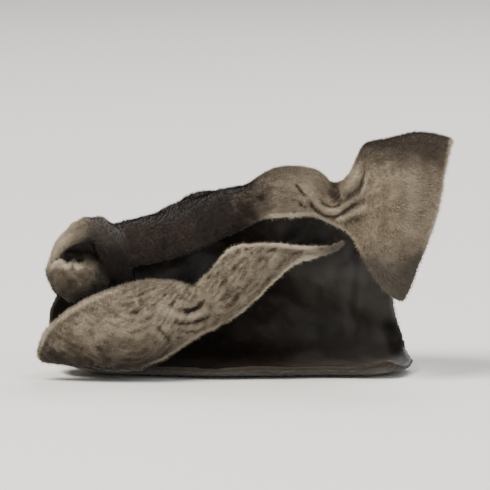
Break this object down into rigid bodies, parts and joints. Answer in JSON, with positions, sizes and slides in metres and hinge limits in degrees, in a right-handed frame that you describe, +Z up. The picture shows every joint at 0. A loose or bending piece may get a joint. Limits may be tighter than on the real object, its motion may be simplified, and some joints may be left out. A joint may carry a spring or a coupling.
{
  "type": "wood ear mushroom",
  "caption": "Dried wood ear fungus: a thin leathery sheet curled into an ear, pale and felted outside, dark and smooth inside.",
  "frame": {"origin": "middle of the bounding box at the resting surface", "axes": "+X along the ear's length, towards the flare; -Y out of its mouth, towards the viewer; +Z up"},
  "size_m": [0.0326, 0.0178, 0.0191],
  "materials": {
    "felted_outside": "dry felted skin, matt"
  },
  "bodies": {
    "root": {"wood_ear": "felted_outside"}
  },
  "joints": []
}
